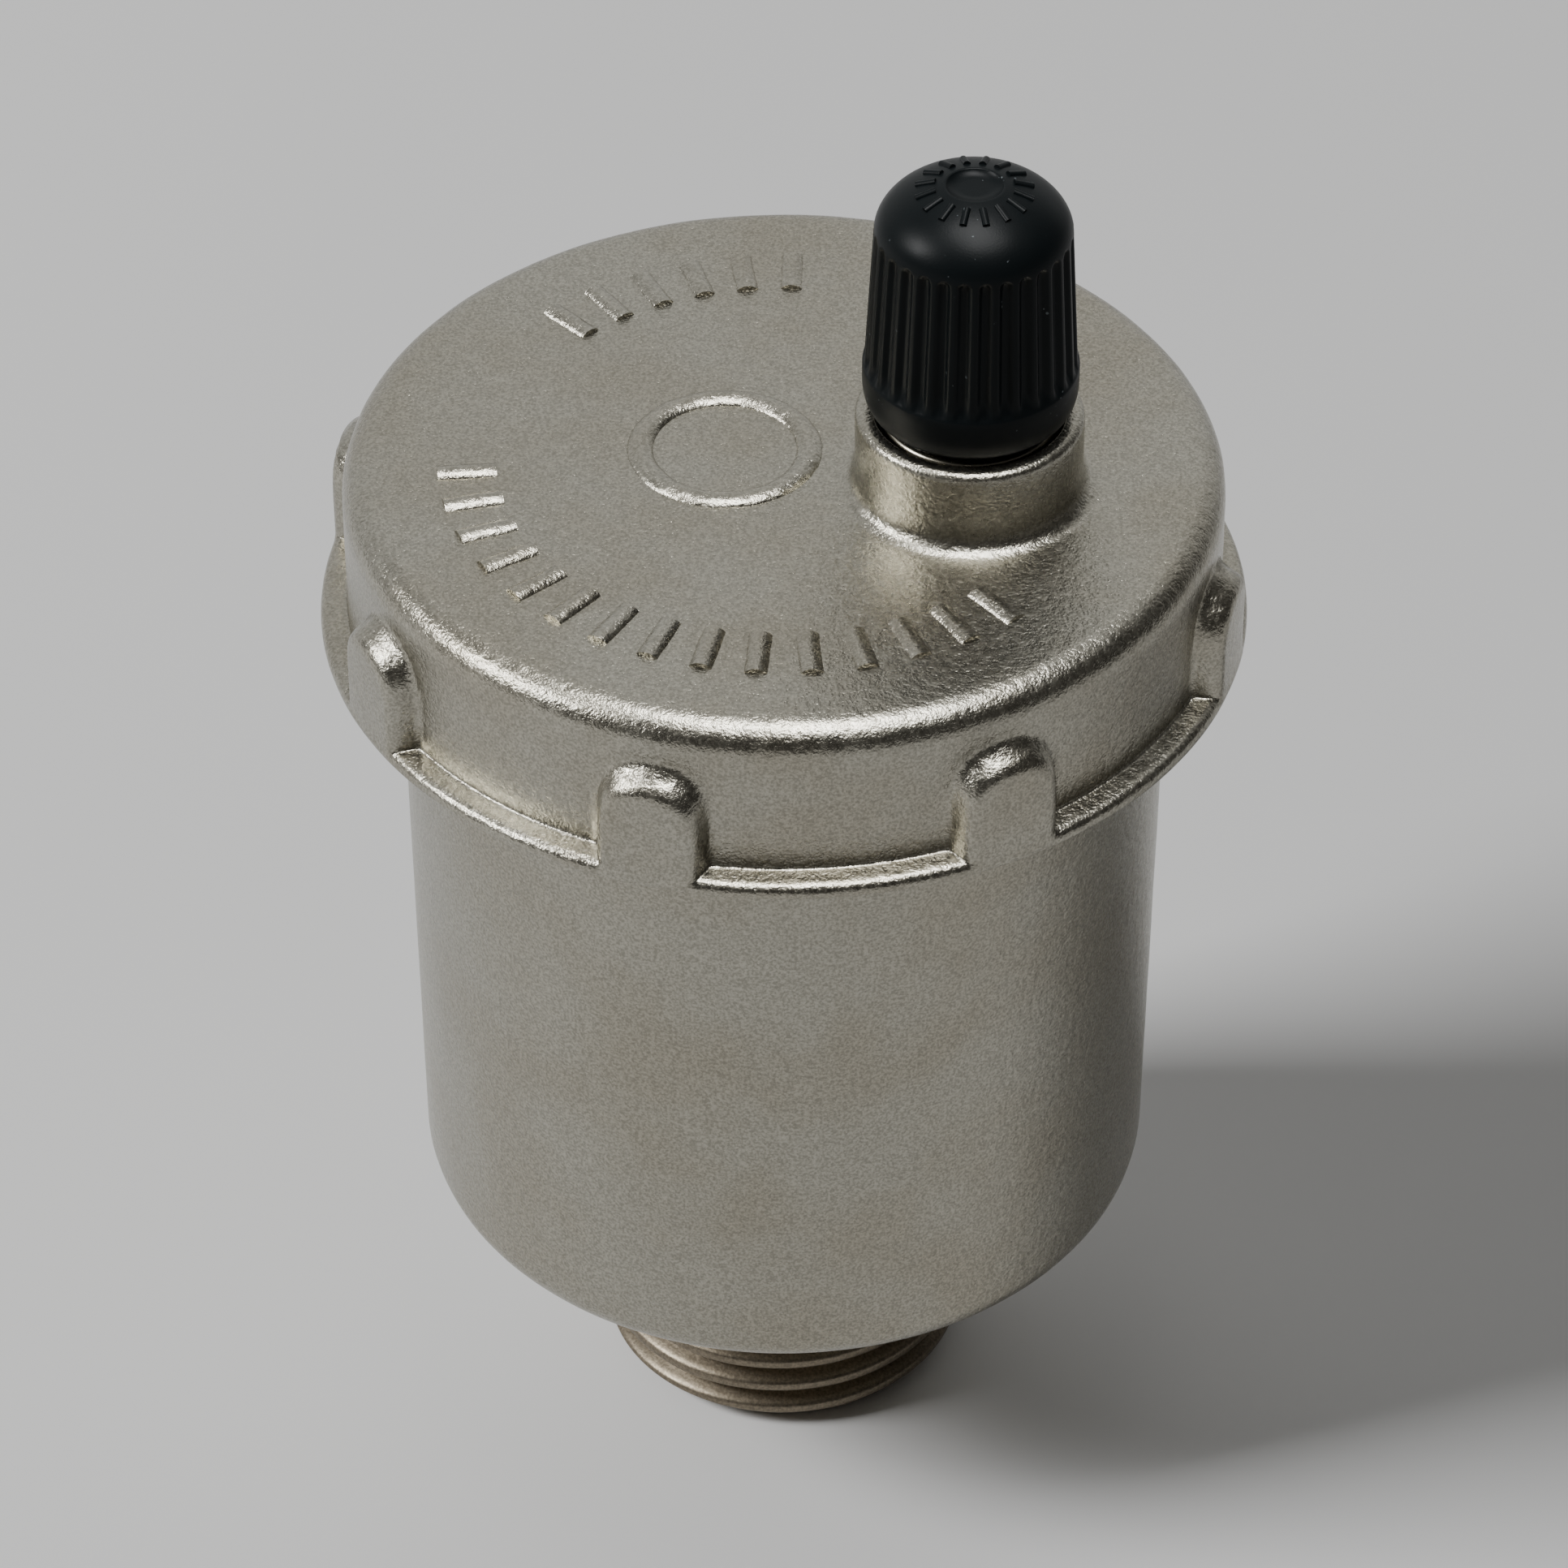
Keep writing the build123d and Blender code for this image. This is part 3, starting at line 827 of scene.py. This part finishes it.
def make_nozzle():
    seat_z, guide_top = cover_top - 1.8 * MM, cover_top - 0.6 * MM
    collar_z = collar_top - 2.5 * MM
    profile = rounded(
        [
            (0.75 * MM, stem_top),
            (0.75 * MM, seat_z),
            (1.2 * MM, seat_z),
            (1.2 * MM, guide_top),
            (2.3 * MM, guide_top),
            (2.3 * MM, nozzle_low.z),
            (3.5 * MM, nozzle_low.z),
            (3.5 * MM, collar_z),
            (collar_r, collar_z),
            (collar_r, collar_top, 0.25 * MM),
            (stem_r, collar_top, 0.2 * MM),
            (stem_r, stem_top - 0.5 * MM),
            (stem_r - 0.5 * MM, stem_top),
        ],
        steps=4,
    )
    fine = lambda radius, height: 0.06 * MM if radius > 3.6 * MM and height > collar_top else 3 * MM
    piece = piece_from("nozzle_turning", *skin(turned(runs(profile, fine), evenly(112), nozzle_x)))
    thread.shape(
        piece,
        {
            "Centre X": nozzle_x,
            "Radius": stem_r,
            "Pitch": 0.79375 * MM,
            "Depth": 0.42 * MM,
            "Foot": collar_top + 0.9 * MM,
            "Foot fade": 0.6 * MM,
            "Head": stem_top + 0.1 * MM,
            "Head fade": 0.01 * MM,
            "Material": nozzle_nickel,
        },
    )
    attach(piece, "housing")
    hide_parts("vent_nozzle")


# Dust cap: incurved mouth, smooth band, grooved barrel, dome with a sunk disc

def make_cap():
    band_z, cap_top = cap_z + 2.8 * MM, cap_z + 14.1 * MM
    mouth_r, barrel_low, barrel_top = cap_r - 0.7 * MM, 5.7 * MM, 5.27 * MM
    bore_r, bore_top = stem_r + 0.1 * MM, stem_top + 1.0 * MM
    dome = 3.13 * MM
    shoulder_z = cap_top - dome
    groove_head = cap_z + 11.15 * MM
    disc_r, disc_depth = 1.5 * MM, 0.2 * MM

    def dome_z(radius):
        return shoulder_z + dome * sqrt(1 - (radius / barrel_top) ** 2)

    curve = [radians(a) for a in range(0, 91, 10)]
    crown = [radians(a) for a in np.linspace(0, 90, 30)]
    profile = [(0.1 * MM, bore_top), (bore_r, bore_top), (bore_r, cap_z + 0.5 * MM)]
    profile += [(bore_r + 0.5 * MM, cap_z), (mouth_r - 0.05 * MM, cap_z)]
    profile += [(mouth_r + 0.7 * MM * sin(a), cap_z + 1.6 * MM * (1 - cos(a))) for a in curve]
    profile += [(cap_r, band_z - 0.2 * MM), (cap_r - 0.03 * MM, band_z - 0.08 * MM), (barrel_low, band_z)]
    profile += [
        (barrel_top * cos(a), shoulder_z + dome * sin(a))
        for a in crown
        if barrel_top * cos(a) > disc_r + 0.12 * MM
    ]
    profile += [
        (disc_r + 0.07 * MM, dome_z(disc_r + 0.07 * MM)),
        (disc_r, dome_z(disc_r) - 0.05 * MM),
        (disc_r - 0.04 * MM, dome_z(disc_r) - disc_depth),
        (disc_r / 2, dome_z(disc_r) - disc_depth),
        (0.1 * MM, dome_z(disc_r) - disc_depth),
    ]

    def longest(radius, height):
        if radius > 4.5 * MM and abs(height - groove_head) < 0.6 * MM:
            return 0.06 * MM
        return 0.6 * MM if radius > 4.5 * MM else 2 * MM

    rings = turned(runs(profile, longest), evenly(600), nozzle_x)
    piece = piece_from("cap_moulding", *skin(rings, poles=True))
    grooves.shape(
        piece,
        {
            "Centre X": nozzle_x,
            "Count": 30.0,
            "Radius": barrel_low,
            "Half width": 0.30 * MM,
            "Foot": band_z + 0.2 * MM,
            "Head": groove_head,
            "Depth": 0.27 * MM,
            "Edge": 0.2 * MM,
            "Skin radius": 4.5 * MM,
            "Material": cap_black,
        },
    )
    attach(piece, "cap")
    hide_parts("cap")
    pips = piece_from("cap_pips", [], [])
    marks.shape(
        pips,
        {
            "Centre": (nozzle_x, 0.0, dome_z(2.6 * MM) - 0.05 * MM),
            "Count": 16,
            "Radius": 2.6 * MM,
            "Start": 0.0,
            "Step": tau / 16,
            "Tilt": 0.33,
            "Length": 1.1 * MM,
            "Width": 0.42 * MM,
            "Height": 0.2 * MM,
            "Material": cap_black,
        },
    )
    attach(pips, "cap")


# Valve spring, coiled from round wire at one length round the nozzle's axis; nothing here shortens it as the valve
# lifts

def make_spring():
    low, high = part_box("valve_spring")
    wire_r, turns, lift, seat = 0.2 * MM, 3.5, 0.8 * MM, (nozzle_x, 0.0, 63.2 * MM)
    coil_r = high.y - wire_r
    rise = (high.z - low.z - 2 * wire_r) / (turns * tau)
    rings = []
    for angle in np.linspace(0, turns * tau, 127):
        outward = np.array([cos(angle), sin(angle), 0])
        along = np.array([-coil_r * sin(angle), coil_r * cos(angle), rise])
        beside = np.cross(along / np.linalg.norm(along), outward)
        centre = np.array([nozzle_x, 0, low.z + wire_r + rise * angle]) + coil_r * outward
        rings.append([centre + wire_r * (outward * cos(a) + beside * sin(a)) for a in evenly(12)])
    piece = piece_from("spring_coil", *skin(rings, poles=True))
    piece.data.materials.append(steel)
    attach(piece, "housing")
    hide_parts("valve_spring")
    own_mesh(piece)


make_body()
make_cover()
make_cover_marks()
make_nozzle()
make_cap()
make_spring()

# Finishes of the pieces whose solids are shown as they are
shown_as_built = {
    "cover_o_ring": rubber,
    "nozzle_gasket": rubber,
    "valve_seal": rubber,
    "cap_washer": rubber,
    "nozzle_nut": nozzle_nickel,
    "valve_stem": nozzle_nickel,
    "float_guide_pin": turned_nickel("turned_pin", 0.0),
    "lever_bracket": steel,
    "lever_pin": steel,
    "pin_clip": steel,
    "lever": steel,
    "float_shell": float_white,
    "float_lid": float_white,
}
for node, material in shown_as_built.items():
    for held in frame["nodes"][node].material_slots:
        held.material = material

# Floor
floor = piece_from("floor", [(-3, -3, 0), (3, -3, 0), (3, 3, 0), (-3, 3, 0)], [(0, 1, 2, 3)])
floor.data.materials.append(pale_floor())


# Lights: a soft box from the left, one above that lights the vent alone, and a room dark but for its back

def soft_box(name, place, aim, width, height, watts):
    light = bpy.data.lights.new(name, "AREA")
    light.shape = "RECTANGLE"
    light.size, light.size_y, light.energy = width, height, watts
    box = bpy.data.objects.new(name, light)
    box.location = place
    box.rotation_euler = (Vector(aim) - Vector(place)).to_track_quat("-Z", "Y").to_euler()
    bpy.context.scene.collection.objects.link(box)
    return box


soft_box("left", (-1.145, -0.474, 0.98), (0, 0, 0.04), 0.5, 0.5, 25)
overhead = soft_box("overhead", (0.06, -0.06, 0.95), (0, 0, 0.04), 0.44, 0.60, 16)
vent_alone = bpy.data.collections.new("vent_alone")
for piece in bpy.context.scene.objects:
    if piece.type == "MESH" and piece != floor:
        vent_alone.objects.link(piece)
overhead.light_linking.receiver_collection = vent_alone

room = bpy.data.worlds.new("room")
room.use_nodes = True
room_tree = Tree(room.node_tree)
across_room, depth_of_room, height_of_room = room_tree.split(room_tree.node("ShaderNodeTexCoord", {}, {}, "Generated"))
behind = (depth_of_room * 0.95 - across_room * 0.3).above(0.3, 0.75)
wall = mix(room_tree, behind, (0.05, 0.048, 0.045), (0.80, 0.805, 0.80))
background = room_tree.node("ShaderNodeBackground", {}, {"Color": wall, "Strength": 1.0})
room_tree.node("ShaderNodeOutputWorld", {}, {"Surface": background})
bpy.context.scene.world = room

# Camera at the photograph's viewing angle
lens = bpy.data.cameras.new("camera")
lens.lens, lens.sensor_width = 154.5, 36
camera = bpy.data.objects.new("camera", lens)
camera.location = (63.03 * MM, -285.03 * MM, 283.44 * MM)
camera.rotation_euler = (Vector((0, 0, 40.7 * MM)) - camera.location).to_track_quat("-Z", "Y").to_euler()
bpy.context.scene.collection.objects.link(camera)
bpy.context.scene.camera = camera
